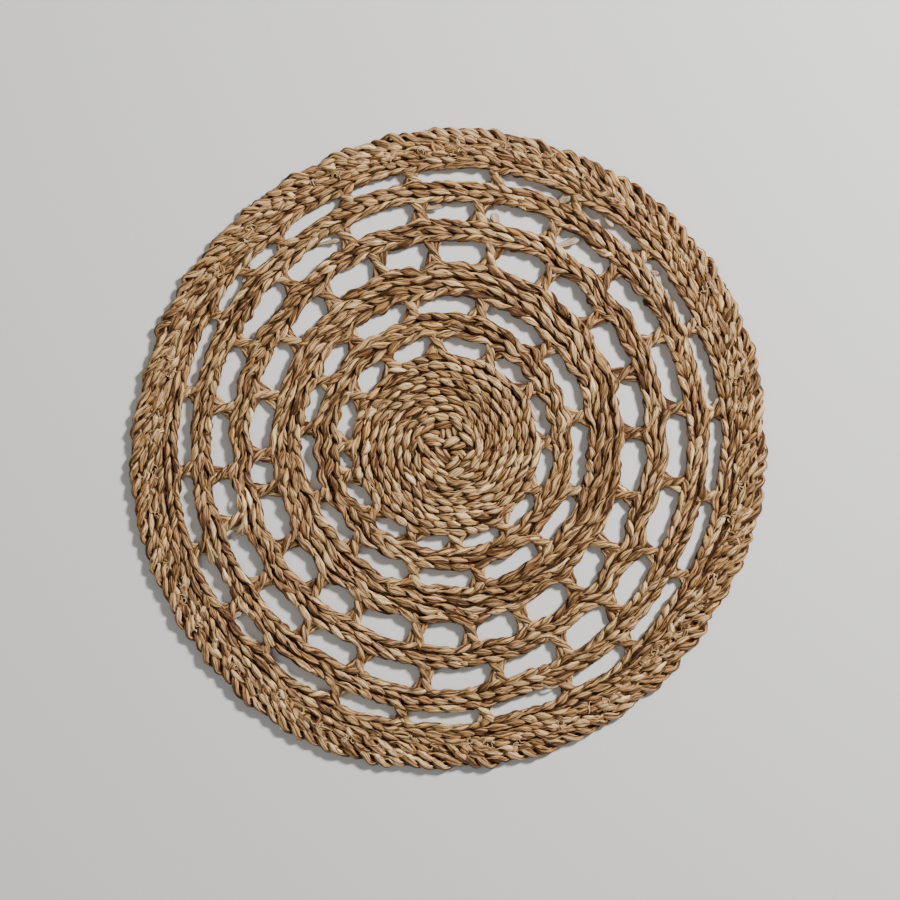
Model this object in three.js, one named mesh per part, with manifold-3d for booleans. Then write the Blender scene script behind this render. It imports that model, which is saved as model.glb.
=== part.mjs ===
// A round open-weave seagrass placemat, twined by hand in one piece: a tight centre disc, four openwork
// rings and a broad border, tied to each other by crossed spokes with open gaps between them.
// Millimetres, +Z up. The mat lies flat, and the origin is the middle of its underside.

import * as THREE from "three";
import { mergeVertices } from "three/addons/utils/BufferGeometryUtils.js";
import Module from "manifold-3d";

// Section of a twined row: a low rounded rib, two strands thick.
const CREST_HEIGHT = 6.4;
const GROOVE_HEIGHT = 4.3;
const SIDE_HEIGHT = 3.0;
const FOOT_INSET = 0.9;
const CENTRE_HEIGHT = 5.2;

// Bands of twined rows from the middle outwards. Steps is the number of straight lengths round the band.
const BANDS = [
  { name: "disc", inner: 0, outer: 55.4, rows: 11, steps: 30 },
  { name: "first ring", inner: 63.3, outer: 76.9, rows: 3, steps: 36 },
  { name: "second ring", inner: 85.6, outer: 105.9, rows: 4, steps: 44 },
  { name: "third ring", inner: 118.6, outer: 131.9, rows: 3, steps: 50 },
  { name: "fourth ring", inner: 142.8, outer: 156.2, rows: 3, steps: 58 },
  { name: "border", inner: 162.8, outer: 190.4, rows: 6, steps: 66 },
];

// How the rounds sit at a given radius: the shift of their middle, and how far they are from round.
// Oval stretches the round along the axes, and skew stretches it along the diagonals.
const SETTLING = [
  { radius: 0, shiftX: -0.8, shiftY: 0.4, oval: 0, skew: 0 },
  { radius: 55.4, shiftX: -2.1, shiftY: 2.9, oval: 0.6, skew: -0.5 },
  { radius: 76.9, shiftX: -3.1, shiftY: 4.9, oval: 0, skew: -0.6 },
  { radius: 105.9, shiftX: -0.9, shiftY: 4.4, oval: -1.5, skew: 0.7 },
  { radius: 131.9, shiftX: -0.2, shiftY: 4.0, oval: -1.8, skew: 1.1 },
  { radius: 156.2, shiftX: -0.2, shiftY: 3.0, oval: -1.8, skew: 1.8 },
  { radius: 190.4, shiftX: 0, shiftY: 0, oval: -1.0, skew: 2.5 },
];

// Hand-made unevenness: waves round the mat, each turning a little from one round to the next.
const WAVES = [
  { height: 0.5, count: 7, turnPerMm: 0.05 },
  { height: 0.35, count: 11, turnPerMm: -0.08 },
];

// The spokes of each open round, from the middle outwards, by their angle in degrees from +X.
const OPEN_ROUNDS = [
  { between: [0, 1], spokes: [2, 33, 63, 94, 124, 151.5, 180, 197, 223, 249.5, 277, 305, 333] },
  { between: [1, 2], spokes: [11, 43, 75, 104, 132, 153.5, 174, 203, 229, 257, 284, 313.5, 339.5] },
  {
    between: [2, 3],
    spokes: [
      2.5, 21, 40, 58.5, 77, 94, 111, 129, 147, 165.5, 183.5,
      194, 211.5, 227.5, 242, 261, 277, 293, 310.5, 327, 344,
    ],
  },
  {
    between: [3, 4],
    spokes: [
      8.5, 27, 46, 63.5, 82, 97, 116, 135, 153.5, 170.5, 188,
      200, 216, 232, 247.5, 264.5, 282, 299, 315.5, 332, 350,
    ],
  },
  {
    between: [4, 5],
    spokes: [
      7, 25.5, 44.5, 62, 80, 97.5, 113, 129, 139, 151, 168,
      186, 202.5, 217, 228, 244.5, 260.5, 278, 296, 312, 331, 348.5,
    ],
  },
];

// A spoke is a twisted pair of strands, with a second pair that crosses under it on the slant.
const SPOKE_HEIGHT = 4.2;
const SPOKE_BITE = 2.0; // how far it runs into the rows at each end
const SPOKE_SLANT = 4.5; // how far its outer end lies round from its inner end
const SPOKE_FLANKS = [
  { across: 0, side: 7.6 },
  { across: 0.45, side: 3.1 },
  { across: 1, side: 4.4 },
];

const mix = (a, b, t) => a + (b - a) * t;

// The settling of the rounds at this radius, between the rows of the table.
function settlingAt(radius) {
  const reach = Math.min(radius, SETTLING.at(-1).radius);
  const k = Math.max(1, SETTLING.findIndex((s) => s.radius >= reach));
  const inner = SETTLING[k - 1];
  const outer = SETTLING[k];
  const t = (reach - inner.radius) / (outer.radius - inner.radius);
  const at = (key) => mix(inner[key], outer[key], t);
  return { shiftX: at("shiftX"), shiftY: at("shiftY"), oval: at("oval"), skew: at("skew") };
}

// Moves every point of an evenly drawn geometry to where the handmade mat has it.
function settle(geometry) {
  const position = geometry.attributes.position;
  for (let i = 0; i < position.count; i += 1) {
    const x = position.getX(i);
    const y = position.getY(i);
    const radius = Math.hypot(x, y);
    const angle = Math.atan2(y, x);
    const s = settlingAt(radius);
    const fade = Math.min(1, radius / BANDS[0].outer);
    let moved = radius + s.oval * Math.cos(2 * angle) + s.skew * Math.sin(2 * angle);
    for (const w of WAVES) moved += fade * w.height * Math.sin(w.count * angle + w.turnPerMm * radius);
    position.setX(i, moved * Math.cos(angle) + s.shiftX);
    position.setY(i, moved * Math.sin(angle) + s.shiftY);
  }
  return geometry;
}

// The closed section of a band: flat underside, rounded sides, one crest a row and a groove between rows.
function bandProfile({ inner, outer, rows }) {
  const width = (outer - inner) / rows;
  const points = [];
  const isDisc = inner === 0;
  points.push(new THREE.Vector2(isDisc ? 0 : inner + FOOT_INSET, 0));
  points.push(new THREE.Vector2(outer - FOOT_INSET, 0));
  points.push(new THREE.Vector2(outer, SIDE_HEIGHT));
  for (let row = rows - 1; row >= 0; row -= 1) {
    points.push(new THREE.Vector2(inner + (row + 0.5) * width, CREST_HEIGHT));
    if (row > 0) points.push(new THREE.Vector2(inner + row * width, GROOVE_HEIGHT));
  }
  if (isDisc) points.push(new THREE.Vector2(0, CENTRE_HEIGHT));
  else points.push(new THREE.Vector2(inner, SIDE_HEIGHT), points[0].clone());
  return points;
}

function bandGeometry(band) {
  return new THREE.LatheGeometry(bandProfile(band), band.steps).rotateX(Math.PI / 2);
}

// One crossing between two bands, seen from above as a bar that flares where the under pair leaves it.
function spokeGeometry(from, to, angle) {
  const sideways = (across, side) => side + (across - 0.5) * SPOKE_SLANT;
  const along = (across) => {
    if (across === 0) return from - SPOKE_BITE;
    if (across === 1) return to + SPOKE_BITE;
    return mix(from, to, across);
  };
  const leading = SPOKE_FLANKS.map((f) => new THREE.Vector2(along(f.across), sideways(f.across, f.side)));
  const trailing = SPOKE_FLANKS.map(
    (f) => new THREE.Vector2(along(1 - f.across), sideways(1 - f.across, -f.side)),
  );
  const plan = new THREE.Shape([...leading, ...trailing]);
  const bar = new THREE.ExtrudeGeometry(plan, { depth: SPOKE_HEIGHT, bevelEnabled: false });
  return bar.rotateZ(THREE.MathUtils.degToRad(angle));
}

// A closed geometry as a solid for joining.
function solidOf(wasm, geometry) {
  const bare = new THREE.BufferGeometry();
  bare.setAttribute("position", geometry.getAttribute("position"));
  bare.setIndex(geometry.getIndex());
  const merged = mergeVertices(bare, 1e-4);
  const position = merged.getAttribute("position");
  const corners = merged.getIndex().array;
  const kept = [];
  for (let i = 0; i < corners.length; i += 3) {
    const [a, b, c] = [corners[i], corners[i + 1], corners[i + 2]];
    if (a !== b && b !== c && c !== a) kept.push(a, b, c);
  }
  const mesh = new wasm.Mesh({
    numProp: 3,
    vertProperties: new Float32Array(position.array),
    triVerts: new Uint32Array(kept),
  });
  return new wasm.Manifold(mesh);
}

function geometryOf(solid) {
  const mesh = solid.getMesh();
  const geometry = new THREE.BufferGeometry();
  geometry.setAttribute("position", new THREE.BufferAttribute(mesh.vertProperties, 3));
  geometry.setIndex(new THREE.BufferAttribute(mesh.triVerts, 1));
  return geometry;
}

// Bands and spokes are worked into each other strand by strand, so the whole mat is one solid.
async function placematGeometry() {
  const wasm = await Module();
  wasm.setup();
  const pieces = BANDS.map((band) => settle(bandGeometry(band)));
  for (const round of OPEN_ROUNDS) {
    const from = BANDS[round.between[0]].outer;
    const to = BANDS[round.between[1]].inner;
    for (const angle of round.spokes) pieces.push(settle(spokeGeometry(from, to, angle)));
  }
  const joined = pieces.map((g) => solidOf(wasm, g)).reduce((all, next) => all.add(next));
  const geometry = geometryOf(joined);
  geometry.computeBoundingBox();
  const middle = geometry.boundingBox.getCenter(new THREE.Vector3());
  geometry.translate(-middle.x, -middle.y, 0);
  geometry.computeVertexNormals();
  return geometry;
}

const seagrass = new THREE.MeshStandardMaterial({ color: 0xb58f63, roughness: 0.72, metalness: 0 });

const placemat = new THREE.Mesh(await placematGeometry(), seagrass);
placemat.name = "placemat";

const group = new THREE.Group();
group.add(placemat);

export default group;
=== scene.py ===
import math
import bpy
import numpy as np
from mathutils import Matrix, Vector


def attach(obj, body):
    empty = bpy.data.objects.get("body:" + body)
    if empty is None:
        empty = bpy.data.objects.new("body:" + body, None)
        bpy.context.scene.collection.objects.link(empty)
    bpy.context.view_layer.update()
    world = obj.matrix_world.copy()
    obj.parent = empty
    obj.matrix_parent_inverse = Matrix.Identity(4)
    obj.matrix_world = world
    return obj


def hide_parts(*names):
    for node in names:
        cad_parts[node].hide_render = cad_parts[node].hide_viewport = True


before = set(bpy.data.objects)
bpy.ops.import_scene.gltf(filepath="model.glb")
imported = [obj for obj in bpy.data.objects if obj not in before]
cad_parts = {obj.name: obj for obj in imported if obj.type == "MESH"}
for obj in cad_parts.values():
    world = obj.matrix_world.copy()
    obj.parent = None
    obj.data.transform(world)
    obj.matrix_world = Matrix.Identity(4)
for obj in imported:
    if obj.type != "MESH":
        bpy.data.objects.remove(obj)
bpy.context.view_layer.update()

# A round openwork placemat twined from seagrass. Millimetres, in the frame of the solid. A round is drawn
# evenly, by radius and angle, and settle() moves it to where the handmade mat has it.
MM = 0.001
TAU = 2 * math.pi
Z_UP = np.array([0.0, 0.0, 1.0])
rng = np.random.default_rng(37)

# Bands of twined rows from the middle outwards: inner and outer radius, as in the solid.
DISC_OUTER = 55.4
RING_1 = (63.3, 76.9)
RING_2 = (85.6, 105.9)
RING_3 = (118.6, 131.9)
RING_4 = (142.8, 156.2)
BORDER = (162.8, 190.4)
BORDER_STEPS = 66  # straight lengths round the border in the solid

# How the rounds sit: radius, shift of their middle in x and y, stretch along the axes, and along the
# diagonals.
SETTLING = np.array([
    (0, -0.8, 0.4, 0, 0),
    (55.4, -2.1, 2.9, 0.6, -0.5),
    (76.9, -3.1, 4.9, 0, -0.6),
    (105.9, -0.9, 4.4, -1.5, 0.7),
    (131.9, -0.2, 4.0, -1.8, 1.1),
    (156.2, -0.2, 3.0, -1.8, 1.8),
    (190.4, 0, 0, -1.0, 2.5),
])
WAVES = ((0.5, 7, 0.05), (0.35, 11, -0.08))  # height, count round the mat, turn per mm

# The open rounds: inner radius, outer radius, and the spokes by their angle in degrees from +X.
OPEN_ROUNDS = (
    (DISC_OUTER, RING_1[0], (2, 33, 63, 94, 124, 151.5, 180, 197, 223, 249.5, 277, 305, 333)),
    (RING_1[1], RING_2[0], (11, 43, 75, 104, 132, 153.5, 174, 203, 229, 257, 284, 313.5, 339.5)),
    (RING_2[1], RING_3[0], (2.5, 21, 40, 58.5, 77, 94, 111, 129, 147, 165.5, 183.5,
                            194, 211.5, 227.5, 242, 261, 277, 293, 310.5, 327, 344)),
    (RING_3[1], RING_4[0], (8.5, 27, 46, 63.5, 82, 97, 116, 135, 153.5, 170.5, 188,
                            200, 216, 232, 247.5, 264.5, 282, 299, 315.5, 332, 350)),
    (RING_4[1], BORDER[0], (7, 25.5, 44.5, 62, 80, 97.5, 113, 129, 139, 151, 168,
                            186, 202.5, 217, 228, 244.5, 260.5, 278, 296, 312, 331, 348.5)),
)

ROW_Z = 3.2  # height of a row's own axis
EDGE_ROW = 2.45  # from the edge of a band to the axis of its outermost row
LOWEST = 0.05  # the underside is pressed flat


def settle(radius, angle):
    """Where a point of an evenly drawn round lies on the mat: x and y."""
    radius = np.asarray(radius, float)
    s = [np.interp(radius, SETTLING[:, 0], SETTLING[:, k]) for k in range(1, 5)]
    moved = radius + s[2] * np.cos(2 * angle) + s[3] * np.sin(2 * angle)
    fade = np.minimum(1, radius / DISC_OUTER)
    for height, count, turn in WAVES:
        moved = moved + fade * height * np.sin(count * angle + turn * radius)
    return moved * np.cos(angle) + s[0], moved * np.sin(angle) + s[1]


# The solid was centred on the middle of its outline, so the same shift is taken off here.
corner_angles = np.arange(BORDER_STEPS) * TAU / BORDER_STEPS
edge_x, edge_y = settle(np.full(BORDER_STEPS, BORDER[1]), corner_angles)
MIDDLE = ((edge_x.min() + edge_x.max()) / 2, (edge_y.min() + edge_y.max()) / 2)


def on_mat(radius, angle, z):
    x, y = settle(radius, angle)
    return np.stack([x - MIDDLE[0], y - MIDDLE[1], np.broadcast_to(z, x.shape)], axis=-1)


def unevenness(size, lowest, highest):
    """A smooth unevenness round the mat that closes on itself, as a function of the angle. Its waves are
    between lowest and highest in number round the mat."""
    waves = [
        (count, size / 2.2 * rng.normal(), rng.uniform(0, TAU))
        for count in rng.integers(lowest, highest, 5)
    ]
    return lambda angle: sum(height * np.sin(count * angle + start) for count, height, start in waves)


def wobble(angle, size, lowest, highest):
    return unevenness(size, lowest, highest)(angle)


# A strand is a bundle of folds with grooves between them. Each fold has three corners, at these shares of
# its width: the groove and two shoulders.
FOLD_CORNERS = np.array([0, 0.27, 0.73])
FOLD_TONE = 0.06  # how much the folds of a strand differ in tone
SHADE_REACH = 1.1  # how far above and below the rows' axes a strand gets painted shade
DARKEST = 1.6  # the most that the painted shade of a strand adds up to


class Weave:
    """Swept strands that become one mesh, each laid out as an unrolled strip in the texture map."""

    STRIP = 12.0  # height of a strip in mm
    GAP = 1.0  # between two strips, and between two strands in a strip
    SHORTEST = 40.0  # least length of a strip
    TIP = 0.3  # how far the middle of a cut end stands out
    TIP_STRIP = 0.6  # and its length in the map

    def __init__(self, name):
        self.name = name
        self.points, self.quads, self.tris = [], [], []
        # tones are the strands' own tones, and grooves holds the painted shade of each point
        self.tones, self.grooves = [], []
        self.quad_places, self.tri_places = [], []
        self.count = 0  # of points
        self.length = 0.0  # of all strands, with the gaps between them

    def add(self, points, tones, grooves):
        self.points.append(points)
        self.tones.append(tones)
        self.grooves.append(grooves)
        self.count += len(points)

    def strand(self, path, wide, tall, tone, grooves, depth, facing=(0.0, 1.0), hint=Z_UP, twist=0.0,
               crossing_shade=0.0, shade=0.0, crease_shade=0.0, closed=False):
        """A strand along path. wide and tall are half sizes, tall along facing (outwards, up). grooves are
        shares of the way round, turned on by twist, and depth is how deep they are. The three darkening
        values
        after twist are painted shade: all round where it crosses under its partner, at the height of the
        rows' axes, and on the side turned away from facing. Its grooves get painted shade too."""
        path = np.asarray(path, float)
        n = len(path)
        ahead = np.roll(path, -1, 0) - np.roll(path, 1, 0) if closed else np.gradient(path, axis=0)
        ahead /= np.linalg.norm(ahead, axis=1)[:, None]
        side = np.cross(ahead, hint)
        side /= np.linalg.norm(side, axis=1)[:, None]
        up = np.cross(side, ahead)
        f_out, f_up = (np.broadcast_to(f, n)[:, None] for f in facing)
        tall_axis = f_out * side + f_up * up
        wide_axis = -f_up * side + f_out * up

        widths = np.diff(np.append(grooves, grooves[0] + 1.0))
        turn = np.concatenate([g + w * FOLD_CORNERS for g, w in zip(grooves, widths)]) * TAU
        m = len(turn)
        shape = np.tile([1 - depth, 1.0, 1.0], len(grooves))
        # Painted shade at the grooves between the folds.
        painted_shade = np.tile([1.0, 0.0, 0.0], len(grooves))
        fold_tone = np.repeat(rng.normal(0, FOLD_TONE, len(grooves)), 3)

        around = turn[None, :] + np.broadcast_to(twist, n)[:, None]
        wide, tall = (np.broadcast_to(v, n)[:, None] for v in (wide, tall))
        a = (tall * shape * np.cos(around))[:, :, None] * tall_axis[:, None, :]
        b = (wide * shape * np.sin(around))[:, :, None] * wide_axis[:, None, :]
        rings = path[:, None, :] + a + b
        rings[:, :, 2] = np.maximum(rings[:, :, 2], LOWEST)
        tones = np.broadcast_to(tone, n)
        # Painted shade near the height of the rows' axes, and on the side turned away from facing.
        axis_and_crease_shade = shade * np.clip(1 - np.abs(rings[:, :, 2] - ROW_Z) / SHADE_REACH, 0, 1)
        axis_and_crease_shade = axis_and_crease_shade + crease_shade * np.clip((-np.cos(around) - 0.4) / 0.6, 0, 1)
        dark = np.clip(painted_shade + np.broadcast_to(crossing_shade, n)[:, None] + axis_and_crease_shade, 0, DARKEST)
        start = self.count
        self.add(rings.reshape(-1, 3), (tones[:, None] + fold_tone).reshape(-1), dark.reshape(-1))

        loop = np.vstack([path, path[:1]]) if closed else path
        along = np.concatenate([[0], np.cumsum(np.linalg.norm(np.diff(loop, axis=0), axis=1))])
        along += self.length + self.GAP
        spans = n if closed else n - 1
        i, j = np.meshgrid(np.arange(spans), np.arange(m), indexing="ij")
        i, j = i.ravel(), j.ravel()
        i2, j2 = (i + 1) % n, (j + 1) % m
        self.quads.append(np.stack([i * m + j, i * m + j2, i2 * m + j2, i2 * m + j], -1) + start)
        v0, v1 = j / m, (j + 1) / m
        s0, s1 = along[i], along[i + 1]
        self.quad_places.append(np.stack([s0, v0, s0, v1, s1, v1, s1, v0], -1).reshape(-1, 4, 2))
        if not closed:
            last = start + (n - 1) * m
            self.cut_end(start, m, path[0] - self.TIP * ahead[0], tones[0], along[0], -1)
            self.cut_end(last, m, path[-1] + self.TIP * ahead[-1], tones[-1], along[-1], 1)
        self.length = along[-1] + self.GAP

    def cut_end(self, ring, m, tip, tone, at, way):
        """Closes a strand with a low point. ring is its first point, and way is -1 at the start."""
        j = np.arange(m)
        j2 = (j + 1) % m
        one, two = (j2, j) if way < 0 else (j, j2)
        v_one, v_two = ((j + 1) / m, j / m) if way < 0 else (j / m, (j + 1) / m)
        s = np.full(m, at)
        places = np.stack([s, v_one, s, v_two, s + way * self.TIP_STRIP, (j + 0.5) / m], -1)
        self.tris.append(np.stack([ring + one, ring + two, np.full(m, self.count)], -1))
        self.tri_places.append(places.reshape(-1, 3, 2))
        self.add(tip[None, :], np.array([tone], float), np.zeros(1))

    def build(self, material):
        mesh = bpy.data.meshes.new(self.name)
        points = np.concatenate(self.points) * MM
        quads = np.concatenate(self.quads)
        faces = quads.tolist()
        places = [np.concatenate(self.quad_places).reshape(-1, 2)]
        if self.tris:
            faces += np.concatenate(self.tris).tolist()
            places.append(np.concatenate(self.tri_places).reshape(-1, 2))
        mesh.from_pydata(points.tolist(), [], faces)
        places = np.concatenate(places)

        # The fibres are drawn in millimetres along and round the strand.
        fibre = mesh.uv_layers.new(name="Fibre")
        fibre.data.foreach_set("uv", (places * (1.0, self.STRIP)).astype(np.float32).ravel())

        # The strips are stacked in a square, and a strip that reaches its end goes on in the next.
        pitch = self.STRIP + self.GAP
        row_length = max(self.SHORTEST, math.sqrt(self.length * pitch))
        rows = math.ceil(self.length / row_length) + 1
        corner_count = np.concatenate([np.full(len(quads), 4), np.full(len(faces) - len(quads), 3)])
        face_start = np.concatenate([[0], np.cumsum(corner_count)[:-1]])
        lowest = np.minimum.reduceat(places[:, 0], face_start)
        row = np.repeat(np.floor(np.maximum(lowest, 0) / row_length), corner_count)
        u = (places[:, 0] - row * row_length + self.GAP) / (row_length + 4 * self.GAP)
        v = (row * pitch + 0.5 * self.GAP + places[:, 1] * self.STRIP) / (rows * pitch)
        strips = mesh.uv_layers.new(name="OFBake")
        strips.data.foreach_set("uv", np.stack([u, v], -1).astype(np.float32).ravel())
        strips.active = True
        strips.active_render = True

        # The second attribute is the painted shade of grooves, crossings, the rows' axes and creases.
        for name, values in (("tone", self.tones), ("painted_shade", self.grooves)):
            attribute = mesh.attributes.new(name, "FLOAT", "POINT")
            attribute.data.foreach_set("value", np.concatenate(values).astype(np.float32))
        return placed(mesh, material)


def placed(mesh, material):
    """A smooth mesh as an object in the scene."""
    mesh.materials.append(material)
    mesh.polygons.foreach_set("use_smooth", np.ones(len(mesh.polygons), bool))
    mesh.update()
    piece = bpy.data.objects.new(mesh.name, mesh)
    bpy.context.scene.collection.objects.link(piece)
    return piece


# Rows. A row is two strands that twist about each other, and each time that a strand comes up is a pass.
CHANGE_FROM = 0.85  # of the way from one low point to the next, where a strand turns to its next values
FIBRE_TURNS = 0.85  # fibres run nearly along a pass, so they turn almost as the pair does
ROW_CUTS = np.array([0, 0.34, 0.68])  # grooves of a strand in a row, before their unevenness
ROW_DEPTH = 0.2
# painted shade on the side of a strand in a row that lies against its partner
ROW_CREASE_SHADE = 1.2


def each_pass(phase, passes, spread):
    """A value for each time that a strand comes up, near 0. It changes while the strand is underneath."""
    values = rng.normal(0, spread, passes)
    turns = phase / TAU + 0.25
    whole = np.floor(turns).astype(int)
    late = np.clip((turns - whole - CHANGE_FROM) / (1 - CHANGE_FROM), 0, 1)
    return values[whole % passes] * (1 - late) + values[(whole + 1) % passes] * late


def twined_row(weave, angle, radius, phase, hand, swing, wide, touch, rough, base,
               lift=1.35, tall=1.7, waist=0.5, shade=1.1, slender=1.1):
    """Two strands that twist about each other along a round, plump where they pass over and narrow where
    they cross. hand is +1 if what is on top runs outwards. The strands go swing to each side and lift up
    and down. wide and tall are half sizes of a full pass, and waist and touch the shares of them at a
    crossing. rough is how uneven the passes are, base their tone, and slender how late they fill out."""
    passes = int(round((phase[-1] - phase[0]) / TAU))
    quickest = max(4, int(TAU * np.mean(radius) / 18))
    own_turns = round(FIBRE_TURNS * passes)
    for k in range(2):
        p = phase + k * math.pi
        out = -hand * np.cos(p)
        rise = np.sin(p)
        full = np.abs(rise) ** slender
        plump = 1 + each_pass(p, passes, 0.10 * rough)
        swell = waist + (1 - waist) * full * plump
        touching = touch + (1 - touch) * full * plump
        sway = swing * (1 + each_pass(p, passes, 0.2 * rough))
        r = radius + sway * out + wobble(angle, 0.2, 3, quickest) + each_pass(p, passes, 0.3 * rough) * full
        height = ROW_Z + lift * rise * (1 + each_pass(p, passes, 0.08 * rough))
        cuts = ROW_CUTS + rng.uniform(-0.07, 0.07, 3) + 0.07
        twist = rng.uniform(0, TAU) + hand * own_turns * angle
        tone = base + each_pass(p, passes, 0.12) + rng.normal(0, 0.02)
        # Painted shade all round the strand where it crosses under its partner.
        crossing_shade = np.clip((0.4 - np.abs(rise)) * 0.8, 0, 0.3)
        weave.strand(on_mat(r, angle, height), wide * swell, tall * touching, facing=(out, rise),
                     tone=tone, twist=twist, grooves=tuple(cuts), depth=ROW_DEPTH * rng.uniform(0.8, 1.2),
                     crossing_shade=crossing_shade, shade=shade, crease_shade=ROW_CREASE_SHADE, closed=True)


PULL = 1.3  # how far a spoke draws the row that it is tied to
PULL_REACH = 5.5  # and how far along the row


def pull(angle, radius, spokes):
    """How far a row is drawn out of its round by the spokes tied to it."""
    away = (angle[:, None] - np.radians(spokes)[None, :] + math.pi) % TAU - math.pi
    return PULL * np.exp(-(away * radius / PULL_REACH) ** 2).sum(axis=1)


def closed_row(weave, radius, kernels, hand, start=None, unrest=0.45, step=1.2, drift=0.3, inwards=None,
               outwards=None, bow=None, **section):
    """kernels is the number of passes that show round the row, and it is even. unrest is how unevenly they
    follow each other, drift how far the row wanders, and bow what it shares with the rows beside it.
    inwards and outwards are how much the spokes on that side pull it, and their angles. step is the
    distance between its sections."""
    steps = int(TAU * radius / step)
    angle = np.arange(steps) * TAU / steps
    start = rng.uniform(0, TAU) if start is None else start
    phase = kernels / 2 * angle + start + wobble(angle, unrest, 2, max(4, kernels // 3))
    line = radius + wobble(angle, 0.3, 2, 8) + wobble(angle, drift, 12, 40)
    if bow:
        line = line + bow(angle)
    if inwards:
        line = line - inwards[0] * pull(angle, radius, inwards[1])
    if outwards:
        line = line + outwards[0] * pull(angle, radius, outwards[1])
    twined_row(weave, angle, line, phase, hand, **section)


BAND_ROW = dict(unrest=0.75, drift=0.25, tall=1.6, waist=0.52, touch=0.73, rough=1.5, base=0.48,
                slender=0.8)


def band_of_rows(weave, band, kernels, count, before, after):
    """Rows side by side, each half a pass on from the last. The innermost one is twisted the other way,
    which makes a chevron. before and after are the angles of the spokes inside and outside the band."""
    first, last = band[0] + EDGE_ROW, band[1] - EDGE_ROW
    pitch = (last - first) / (count - 1)
    bow = unevenness(0.7, 9, 32)
    for k, radius in enumerate(np.linspace(first, last, count)):
        part = k / (count - 1)
        closed_row(weave, radius, kernels, -1 if k == 0 else 1, k * math.pi / 2,
                   inwards=((1 - part) ** 2, before), outwards=(part**2, after) if after else None,
                   bow=bow, wide=0.5 * pitch + 0.3, swing=0.2 * pitch, **BAND_ROW)


def spindle(weave, x, y, degrees, length, wide, tall, z, arch, tone, bend):
    """One short pass of a strand, lying at x, y on the mat. Its ends dive by arch."""
    t = np.linspace(-1, 1, 15)
    a = math.radians(degrees)
    across = bend * (1 - t**2)
    px = x - MIDDLE[0] + length / 2 * t * math.cos(a) - across * math.sin(a)
    py = y - MIDDLE[1] + length / 2 * t * math.sin(a) + across * math.cos(a)
    pz = z - arch * t**2
    taper = np.clip(1 - np.abs(t) ** 2.6, 0.06, 1) ** 0.7
    cuts = tuple(np.sort(rng.uniform(0, 1, 3) * 0.2 + (0, 0.33, 0.66)))
    weave.strand(np.stack([px, py, pz], -1), wide * taper, tall * taper, tone=tone,
                 twist=rng.uniform(0, TAU) + 0.6 * t, grooves=cuts, depth=0.16, shade=0.5)


# The centre: rounds of passes, and inside them the crossed and curled passes where the work was begun.
ROUND_FIRST = 52.6  # radius of the outermost round
ROUND_PITCH = 4.75
ROUND_KERNELS = (38, 34, 32, 28, 24, 20, 18, 14)
CENTRE_ROW = dict(step=0.95, drift=0.1, swing=1.05, lift=1.5, wide=2.45, tall=1.6, waist=0.5, touch=0.84,
                  rough=1.25, base=0.57, shade=0.8, slender=0.95)
CENTRE_PASSES = (  # x, y, degrees, length, half width
    (-3.7, 14.3, 8, 10.7, 2.1),
    (4.2, 15.3, -50, 9.2, 2.0),
    (10.4, 12.6, -52, 8.0, 1.6),
    (14.3, 8.6, -70, 8.5, 1.6),
    (17.0, 3.6, -88, 10.5, 1.8),
    (17.2, -5.0, 52, 8.5, 1.6),
    (14.2, -6.4, 54, 8.0, 1.6),
    (12.9, -10.9, 20, 10.8, 1.9),
    (3.6, -13.2, 27, 10.4, 2.1),
    (-4.0, -13.2, -34, 9.0, 1.7),
    (-11.4, -9.2, -48, 11.6, 2.1),
    (-13.2, -0.2, -63, 8.6, 1.6),
    (-16.4, 3.0, -76, 10.5, 1.9),
    (-13.6, 12.0, 28, 11.4, 1.7),
    (-10.9, 8.0, 2, 9.4, 1.7),
    (-8.4, 9.9, -4, 7.0, 1.3),
    (-9.8, 3.9, -9, 9.0, 1.9),
    (-5.8, 5.7, -14, 6.4, 1.4),
    (-3.8, 9.4, 88, 6.2, 1.4),
    (-0.7, 9.3, -78, 6.6, 1.6),
    (2.4, 10.9, -82, 6.4, 1.3),
    (9.8, 6.4, -46, 9.8, 1.9),
    (11.8, 5.4, -60, 6.6, 1.2),
    (-4.6, -2.4, -52, 10.8, 1.8),
    (-6.9, -5.4, -47, 11.2, 1.6),
    (-8.6, -7.2, -44, 7.0, 1.3),
    (1.8, -8.3, 30, 9.4, 1.9),
    (9.6, -8.0, 22, 6.8, 1.6),
    (11.8, -2.9, 38, 8.4, 1.7),
    (0.4, 5.6, 26, 9.0, 1.3),
    (1.6, 4.1, 28, 10.4, 1.4),
    (5.4, 2.2, 14, 8.8, 1.9),
    (-1.4, -2.7, -57, 6.8, 1.5),
    (2.9, -4.6, 20, 6.0, 1.2),
    (6.6, -2.8, -64, 5.6, 1.2),
    (8.4, -2.4, -58, 5.2, 1.1),
    (4.0, -1.6, 4, 6.0, 1.3),
)
centre = Weave("centre_disc")
for k, kernels in enumerate(ROUND_KERNELS):
    closed_row(centre, ROUND_FIRST - k * ROUND_PITCH, kernels, 1,
               outwards=(0.8, OPEN_ROUNDS[0][2]) if k == 0 else None, **CENTRE_ROW)
for x, y, degrees, length, half in CENTRE_PASSES:
    turn = math.radians(degrees)
    outwards = math.copysign(0.05 * length, y * math.cos(turn) - x * math.sin(turn))
    tone = 0.53 + rng.normal(0, 0.12)
    spindle(centre, x, y, degrees, 1.22 * length, 1.2 * half, half, 4.5 + rng.normal(0, 0.15), 1.7, tone,
            outwards)
    # Underneath, the strand crosses back.
    spindle(centre, x, y, degrees + 40, 1.2 * length, half, 1.3, 1.6, -1.0, tone, outwards)

# The rings and the border.
rings = []
for k, (name, band, kernels, count) in enumerate((
    ("ring_first", RING_1, 38, 3),
    ("ring_second", RING_2, 50, 4),
    ("ring_third", RING_3, 76, 3),
    ("ring_fourth", RING_4, 94, 3),
)):
    weave = Weave(name)
    band_of_rows(weave, band, kernels, count, OPEN_ROUNDS[k][2], OPEN_ROUNDS[k + 1][2])
    rings.append(weave)

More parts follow.
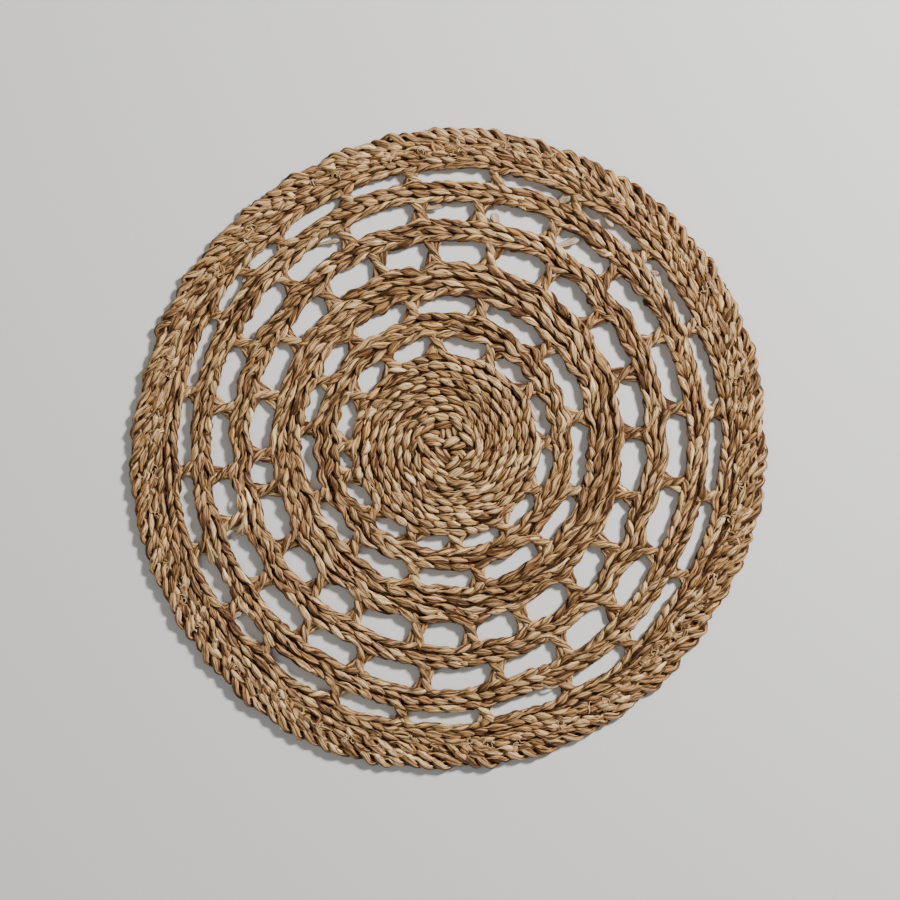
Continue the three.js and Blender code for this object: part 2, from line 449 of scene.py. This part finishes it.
BORDER_MIDDLE = 176.2
BORDER_ROWS = (  # the rougher rows outside it: radius, kernels, and the row's own form
    (177.6, 116, dict(unrest=0.9, swing=1.4, wide=2.5, touch=0.92, rough=1.7, base=0.47)),
    (182.0, 120, dict(unrest=0.7, swing=1.6, wide=2.6, touch=1.0, rough=1.6, base=0.47)),
    (186.2, 132, dict(drift=0.5, swing=2.0, wide=2.5, waist=0.66, touch=1.15, rough=1.5, base=0.5)),
)
border_inner = Weave("border_inner_rows")
band_of_rows(border_inner, (BORDER[0], BORDER_MIDDLE), 112, 3, OPEN_ROUNDS[4][2], None)
border_outer = Weave("border_outer_rows")
for radius, kernels, form in BORDER_ROWS:
    closed_row(border_outer, radius, kernels, 1, step=1.05, **form)

# Spokes: a twisted pair, a strand under it, and strands that fan out to the rows at both ends.
SPOKE_SLANT = 4.5  # how far its outer end lies round from its inner end
SPOKE_BITE = 3.4  # how far it runs in under the rows
SPOKE_STEP = 0.9
SPOKE_Z = 3.1
PAIR_SWING, PAIR_LIFT = 1.4, 1.3
FAN_BITE = 1.8
FANS = ((0.5, 1.0), (0.45, 0.75, 1.0), (0.4, 0.9, 1.05))  # reach of the fanned strands, as shares
WIDEST_FAN = (13.0, 10.5, 10.5, 10.5, 10.5)  # mm round the mat, for each open round


def lay(weave, line, angle, inner, wide, tall, tone, folds):
    """A strand along line: distance out from inner, distance round, and height, in mm, near a spoke."""
    line = np.asarray(line, float)
    r = inner + line[:, 0]
    at = math.radians(angle) + line[:, 1] / r
    n = len(line)
    ends = np.clip(np.minimum(np.arange(n), np.arange(n)[::-1]) / 3.0 + 0.3, 0, 1)
    cuts = tuple((np.arange(folds) + rng.uniform(0, 0.5, folds)) / folds)
    weave.strand(on_mat(r, at, line[:, 2]), wide * ends, tall * ends, tone=tone,
                 twist=rng.uniform(0, TAU) + 1.5 * np.linspace(0, 1, n), grooves=cuts, depth=0.18,
                 shade=0.25)


def curve(start, knee, end, count):
    """A smooth line from start to end that is drawn towards the knee."""
    s = np.linspace(0, 1, count)
    return np.stack([(1 - s) ** 2, 2 * s * (1 - s), s**2], -1) @ np.asarray((start, knee, end), float)


def spoke(weave, inner, gap, angle, widest):
    slant = SPOKE_SLANT * rng.uniform(0.7, 1.2)
    t = np.linspace(-SPOKE_BITE, gap + SPOKE_BITE, int((gap + 2 * SPOKE_BITE) / SPOKE_STEP))
    base = slant * (t / gap - 0.5)
    dip = 0.5 * np.clip(np.abs(t / gap - 0.5) * 2 - 0.7, 0, 1)
    phase = math.pi * (t - gap / 2) / (rng.uniform(0.5, 0.65) * gap + 1.5) + rng.uniform(0, TAU)
    for k in range(2):
        p = phase + k * math.pi
        line = np.stack([t, base - PAIR_SWING * np.cos(p), SPOKE_Z - dip + PAIR_LIFT * np.sin(p)], -1)
        plump = 0.62 + 0.38 * np.abs(np.sin(p))
        lay(weave, line, angle, inner, 2.2 * plump, 1.7 * plump, 0.5 + rng.normal(0, 0.12), 3)
    # The strand under the pair has a darker tone, 0.3, as painted shade beneath it.
    under = np.stack([t, base + rng.normal(0, 0.4), 1.5 + 0 * t], -1)
    lay(weave, under, angle, inner, 1.9, 1.2, 0.3, 2)
    # The fans leave the inner row on one side and the outer row on the other, and round the corners of the
    # gaps.
    for side, near, far in ((1, -FAN_BITE, 0.7 * gap), (-1, gap + FAN_BITE, 0.3 * gap)):
        for reach in widest * rng.uniform(0.85, 1.05) * np.array(FANS[rng.integers(0, 3)]):
            start = (near, base[0 if side > 0 else -1] + side * reach, rng.uniform(1.8, 3.2))
            end = (far, side * rng.uniform(0.3, 1.8) + slant * (far / gap - 0.5), rng.uniform(1.8, 2.8))
            knee = (near + 0.36 * (far - near), start[1] - side * rng.uniform(0.35, 0.6) * reach,
                    rng.uniform(2.6, 3.8))
            lay(weave, curve(start, knee, end, 11), angle, inner, rng.uniform(1.7, 2.4),
                rng.uniform(1.1, 1.5), 0.44 + rng.normal(0, 0.14), 2)


inner_spokes, outer_spokes = Weave("spokes_inner"), Weave("spokes_outer")
for k, (inner, outer, angles) in enumerate(OPEN_ROUNDS):
    for angle in angles:
        spoke(inner_spokes if k < 3 else outer_spokes, inner, outer - inner, angle + rng.normal(0, 0.3),
              WIDEST_FAN[k])

# Flat cut tips of blades that stick out of the rows: x, y, degrees, length, half width.
BLADES = (
    (68.4, 149.2, 38, 7.5, 3.1),
    (94.7, 136.2, -56, 8.4, 1.9),
    (72.1, 123.6, 17, 10.0, 2.4),
    (120.9, 105.5, -10, 7, 1.5),
    (-119.5, 112.5, 78, 20, 1.9),
    (-69.3, 124.0, 10, 8, 1.6),
    (27.3, 137.3, 113, 7.5, 2.7),
    (-9.7, 144.3, 4, 11, 1.7),
    (50.0, 22.0, -65, 12, 1.8),
    (-126.6, -98.3, 30, 7, 1.7),
    (158.4, 28.0, 60, 6, 1.5),
    (-63.3, -55.4, 35, 9, 1.6),
)
BLADE_TAIL = 4.5  # the part that runs in under the rows
ROUND_FROM, ROUND_OVER = 0.25, 0.8  # where along a blade its round tip begins, and over what share
blades = Weave("blade_tips")
for x, y, degrees, length, half in BLADES:
    along = np.linspace(-length / 2 - BLADE_TAIL, length / 2, 17)
    t = along / along[-1]
    a = math.radians(degrees)
    path = np.stack([x - MIDDLE[0] + along * math.cos(a), y - MIDDLE[1] + along * math.sin(a),
                     3.2 + 0.9 * np.tanh(1.2 * t)], -1)
    past = t - ROUND_FROM
    rounded = np.sqrt(np.clip(1 - (past / ROUND_OVER) ** 2, 0.1, 1))
    taper = np.where(past > 0, rounded, 1 + 0.25 * past)
    blades.strand(path, half * taper, 0.4 * taper, tone=0.6, twist=0.15 * t, grooves=(0.25, 0.75),
                  depth=0.0)

# Ends that have frayed and spread out flat: x and y of the root, degrees, length, degrees of spread.
TUFTS = (
    (-121.7, -41.6, -98, 10.0, 30),
    (-144.6, -50.5, -71, 18.0, 13),
    (-125.4, -26.0, -80, 9.5, 14),
)
loose = Weave("loose_ends")
for x, y, degrees, length, spread in TUFTS:
    for away in np.linspace(-1, 1, 9):
        s = np.linspace(0, 1, 9)
        reach = length * rng.uniform(0.8, 1.05) * s
        a = np.radians(degrees + spread * away * (0.5 + 0.5 * s) + rng.normal(0, 3) * s)
        path = np.stack([x - MIDDLE[0] + reach * np.cos(a), y - MIDDLE[1] + reach * np.sin(a),
                         5.0 + 1.5 * np.sin(2.6 * s) - 1.6 * s**2 + rng.uniform(-0.2, 0.2)], -1)
        loose.strand(path, 0.62 * (0.7 + 0.3 * s), 0.4, tone=rng.uniform(0.5, 0.85), grooves=(0.2, 0.7),
                     depth=0.1)

# The rough rows of the border: short ends at odd angles, and groups of small curls that stand up.
SHORT_ENDS = 190
CURL_GROUPS = 58
for k in range(SHORT_ENDS):
    at = rng.uniform(0, TAU)
    x, y = settle(rng.uniform(173.0, 182.5), at)
    spindle(loose, x, y, math.degrees(at) + 90 - rng.normal(26, 30), rng.uniform(6.5, 9.5),
            rng.uniform(1.5, 2.3), rng.uniform(1.0, 1.4), rng.uniform(4.4, 5.3), 1.7,
            0.5 + rng.normal(0, 0.16), rng.normal(0, 0.6))
for k in range(CURL_GROUPS):
    at = (k + rng.uniform(-0.4, 0.4)) * TAU / CURL_GROUPS
    middle = 177.5 + rng.normal(0, 2.4)
    for curl in range(rng.integers(5, 9)):
        cx, cy, _ = on_mat(np.array(middle + rng.normal(0, 1.5)), np.array(at + rng.normal(0, 0.011)), 0.0)
        heading = rng.uniform(0, TAU)
        size = rng.uniform(1.0, 2.2)
        turn = np.linspace(0, rng.uniform(0.7, 1.4) * math.pi, 13) + rng.uniform(0, 0.6)
        lean = rng.uniform(0.3, 0.9)
        px = cx + size * (np.cos(turn) * math.cos(heading) - lean * np.sin(turn) * math.sin(heading))
        py = cy + size * (np.cos(turn) * math.sin(heading) + lean * np.sin(turn) * math.cos(heading))
        pz = 5.2 + np.sin(turn) * size * (1 - lean) * 0.8
        hint = np.array([-math.sin(heading), math.cos(heading), 0.35])
        loose.strand(np.stack([px, py, pz], -1), rng.uniform(0.35, 0.65), rng.uniform(0.25, 0.4),
                     hint=hint / np.linalg.norm(hint), tone=rng.uniform(0.5, 1.0), grooves=(0.0, 0.5),
                     depth=0.1)

# Passes that slipped out of their row, and thin folds beside them: a band, and how many of each.
SLIPPED = (
    ((24.0, DISC_OUTER), 10, 26),
    (RING_1, 8, 12),
    (RING_2, 16, 20),
    (RING_3, 16, 24),
    (RING_4, 20, 28),
)
for band, thick, thin in SLIPPED:
    for k in range(thick + thin):
        at = rng.uniform(0, TAU)
        x, y = settle(rng.uniform(band[0] + 2.2, band[1] - 2.2), at)
        slip = math.degrees(at) + 90 - rng.normal(8, 15)
        half = rng.uniform(1.6, 2.1) if k < thick else rng.uniform(0.7, 1.0)
        spindle(loose, x, y, slip, rng.uniform(8, 12.5), half, 0.75 * half, 5.6 - 0.5 * half, 1.6,
                0.5 + rng.normal(0, 0.14), rng.normal(0, 1.0))


# Materials. Tones are linear colours, from dark to pale.
GRASS_TONES = ((0.085, 0.032, 0.010), (0.54, 0.308, 0.125), (0.99, 0.715, 0.39))
BLADE_TONES = ((0.30, 0.19, 0.11), (0.58, 0.43, 0.28), (0.72, 0.59, 0.43))
# The warp is seagrass too; its near-black tones are painted shade.
WARP_SHADE_TONES = ((0.02, 0.009, 0.004), (0.09, 0.042, 0.017))
WARMTH = (1.0, 0.84, 0.67)
RELIEF = 0.0006  # m


def new_material(name):
    material = bpy.data.materials.new(name)
    material.use_nodes = True
    return material, material.node_tree, material.node_tree.nodes["Principled BSDF"]


def node(tree, kind, **values):
    made = tree.nodes.new(kind)
    for key, value in values.items():
        if key in made.inputs:
            made.inputs[key].default_value = value
        else:
            setattr(made, key, value)
    return made


def colours(tree, level, first, last, stops):
    """A ramp from one colour to the other over level."""
    ramp = node(tree, "ShaderNodeValToRGB")
    ends = ramp.color_ramp.elements
    ends[0].position, ends[0].color = first, (*stops[0], 1)
    ends[1].position, ends[1].color = last, (*stops[-1], 1)
    for stop in stops[1:-1]:
        ends.new(0.5).color = (*stop, 1)
    tree.links.new(level, ramp.inputs["Fac"])
    return ramp.outputs["Color"]


def relief(tree, shader, height):
    bump = node(tree, "ShaderNodeBump", Strength=0.8, Distance=RELIEF)
    tree.links.new(height, bump.inputs["Height"])
    tree.links.new(bump.outputs["Normal"], shader.inputs["Normal"])


def seagrass(name, tones):
    """Dried seagrass: lengthwise fibres, a tone for each strand, and painted shade in grooves, crossings
    and creases.
    """
    material, tree, shader = new_material(name)
    link = tree.links.new
    shader.inputs["Specular IOR Level"].default_value = 0.28

    place = node(tree, "ShaderNodeUVMap", uv_map="Fibre")
    tone = node(tree, "ShaderNodeAttribute", attribute_name="tone")
    painted_shade = node(tree, "ShaderNodeAttribute", attribute_name="painted_shade")

    def maths(operation, a, b, clamp=False):
        made = node(tree, "ShaderNodeMath", operation=operation, use_clamp=clamp)
        for socket, value in zip(made.inputs, (a, b)):
            if isinstance(value, (int, float)):
                socket.default_value = value
            else:
                link(value, socket)
        return made.outputs[0]

    def streaks(along, across, detail):
        """Noise, by how often it changes in a millimetre along and across the strand."""
        stretch = node(tree, "ShaderNodeVectorMath", operation="MULTIPLY")
        stretch.inputs[1].default_value = (along, across, 1.0)
        link(place.outputs["UV"], stretch.inputs[0])
        noise = node(tree, "ShaderNodeTexNoise", Scale=1.0, Detail=detail, Roughness=0.6)
        link(stretch.outputs[0], noise.inputs["Vector"])
        return noise.outputs["Fac"]

    def lines(along, across, sharp):
        """Thin dark lines, where the folded blade meets itself."""
        away = maths("ABSOLUTE", maths("SUBTRACT", streaks(along, across, 1.0), 0.5), 0.0)
        return maths("SUBTRACT", 1.0, maths("MULTIPLY", away, sharp), clamp=True)

    broad = streaks(0.08, 0.45, 2.0)
    fine = streaks(0.10, 1.25, 3.0)
    lift = maths("ADD", maths("MULTIPLY", maths("SUBTRACT", broad, 0.5), 0.7),
                 maths("MULTIPLY", maths("SUBTRACT", fine, 0.5), 1.1))
    level = maths("ADD", tone.outputs["Fac"], lift)
    # The painted shade, read from the strand's attribute, darkens the colour.
    level = maths("SUBTRACT", level, maths("MULTIPLY", maths("POWER", painted_shade.outputs["Fac"], 1.8), 0.55))
    line = maths("ADD", maths("MULTIPLY", lines(0.045, 0.62, 32.0), 0.6),
                 maths("MULTIPLY", lines(0.06, 1.0, 30.0), 0.4))
    level = maths("SUBTRACT", maths("ADD", level, 0.08), line, clamp=True)

    warm = node(tree, "ShaderNodeMix", data_type="RGBA", blend_type="MULTIPLY")
    warm.inputs["B"].default_value = (*WARMTH, 1)
    warm_patches = maths("MULTIPLY", maths("SUBTRACT", streaks(0.035, 0.1, 1.0), 0.48), 4.0, clamp=True)
    link(warm_patches, warm.inputs["Factor"])
    link(colours(tree, level, 0.05, 0.95, tones), warm.inputs["A"])
    link(warm.outputs["Result"], shader.inputs["Base Color"])
    link(maths("ADD", maths("MULTIPLY", fine, 0.25), 0.45), shader.inputs["Roughness"])
    relief(tree, shader, maths("SUBTRACT", fine, maths("MULTIPLY", line, 1.5)))
    return material


def shadowed(name):
    """The strands inside, dull, and painted dark as the shade between the rows."""
    material, tree, shader = new_material(name)
    shader.inputs["Roughness"].default_value = 0.85
    shader.inputs["Specular IOR Level"].default_value = 0.05
    place = node(tree, "ShaderNodeTexCoord")
    noise = node(tree, "ShaderNodeTexNoise", Scale=700.0, Detail=3.0)
    tree.links.new(place.outputs["Object"], noise.inputs["Vector"])
    tree.links.new(colours(tree, noise.outputs["Fac"], 0.35, 0.75, WARP_SHADE_TONES), shader.inputs["Base Color"])
    relief(tree, shader, noise.outputs["Fac"])
    return material


grass = seagrass("seagrass", GRASS_TONES)
blade = seagrass("seagrass_blade", BLADE_TONES)

# The radial strands inside the bands: inner radius, outer radius, and how many.
WARP_INSET = 1.8
WARP_BANDS = (
    (0.6, DISC_OUTER - 2.2, 26),
    (RING_1[0] + WARP_INSET, RING_1[1] - WARP_INSET, 26),
    (RING_2[0] + WARP_INSET, RING_2[1] - WARP_INSET, 42),
    (RING_3[0] + WARP_INSET, RING_3[1] - WARP_INSET, 52),
    (RING_4[0] + WARP_INSET, RING_4[1] - WARP_INSET, 60),
    (BORDER[0] + WARP_INSET, BORDER[1] - 3.4, 76),
)
WARP_Z = ROW_Z - 0.3
WARP_HALF = 0.2  # half the thickness between two strands
WARP_RIB = 0.8  # and how much a strand adds to it
WARP_RADII = 5  # rounds of points across a band
WARP_STEPS = 6  # points round the mat for each strand


def warp_layer(name, material):
    """The radial strands, side by side: what shows between the rows, painted dark as shade."""
    points, faces, area = [], [], 0.0
    for inner, outer, count in WARP_BANDS:
        steps = count * WARP_STEPS
        angle = np.arange(steps) * TAU / steps
        ribs = WARP_RIB * np.abs(np.cos(count / 2 * angle))
        base = len(points)
        for top in (1, -1):
            for r in np.linspace(inner, outer, WARP_RADII):
                points.extend(on_mat(np.full(steps, r), angle, WARP_Z + top * (WARP_HALF + ribs)).tolist())
        # Once round the section: out along the top, and back along the underside.
        order = list(range(WARP_RADII)) + list(range(2 * WARP_RADII - 1, WARP_RADII - 1, -1))
        for a, b in zip(order, order[1:] + order[:1]):
            for k in range(steps):
                k2 = (k + 1) % steps
                faces.append((base + a * steps + k, base + b * steps + k, base + b * steps + k2,
                              base + a * steps + k2))
        area += math.pi * (outer**2 - inner**2) * MM * MM
    mesh = bpy.data.meshes.new(name)
    mesh.from_pydata((np.array(points) * MM).tolist(), [], faces)
    return placed(mesh, material), area


warp, warp_area = warp_layer("warp_layer", shadowed("seagrass_warp_shade"))
made = [w.build(grass) for w in (centre, *rings, border_inner, border_outer, inner_spokes,
                                outer_spokes, loose)]
made.append(blades.build(blade))
for piece in (warp, *made):
    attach(piece, "root")
    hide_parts("placemat")

# Stage: a plain pale floor, a soft light from the top right, a weak one from the left and a soft room.
bpy.ops.mesh.primitive_plane_add(size=40)
floor = bpy.context.object
floor.name = "floor"
floor_paint, _, floor_shader = new_material("floor")
floor_shader.inputs["Base Color"].default_value = (0.74, 0.73, 0.71, 1)
floor_shader.inputs["Roughness"].default_value = 0.9
floor.data.materials.append(floor_paint)


def soft_light(name, place, size, power):
    """A round lamp that faces the mat. Metres and watts."""
    lamp = bpy.data.lights.new(name, "AREA")
    lamp.shape = "DISK"
    lamp.size = size
    lamp.energy = power
    rig = bpy.data.objects.new(name, lamp)
    rig.location = place
    rig.rotation_euler = (-Vector(place)).to_track_quat("-Z", "Y").to_euler()
    bpy.context.scene.collection.objects.link(rig)


soft_light("key", (1.12, 0.85, 1.1), 0.3, 62)
soft_light("fill", (-0.9, -0.3, 1.6), 1.4, 5)
world = bpy.data.worlds.new("room")
world.use_nodes = True
world.node_tree.nodes["Background"].inputs["Color"].default_value = (1.0, 0.985, 0.96, 1)
world.node_tree.nodes["Background"].inputs["Strength"].default_value = 0.22
bpy.context.scene.world = world

# The camera looks straight down.
PICTURE_MIDDLE = (0.48, 0.06)  # the point of the mat in the middle of the photograph
CAMERA_HEIGHT = 1.266  # m
camera = bpy.data.cameras.new("camera")
camera.lens = 85
camera.sensor_width = 36
eye = bpy.data.objects.new("camera", camera)
eye.location = ((PICTURE_MIDDLE[0] - MIDDLE[0]) * MM, (PICTURE_MIDDLE[1] - MIDDLE[1]) * MM, CAMERA_HEIGHT)
bpy.context.scene.collection.objects.link(eye)
bpy.context.scene.camera = eye
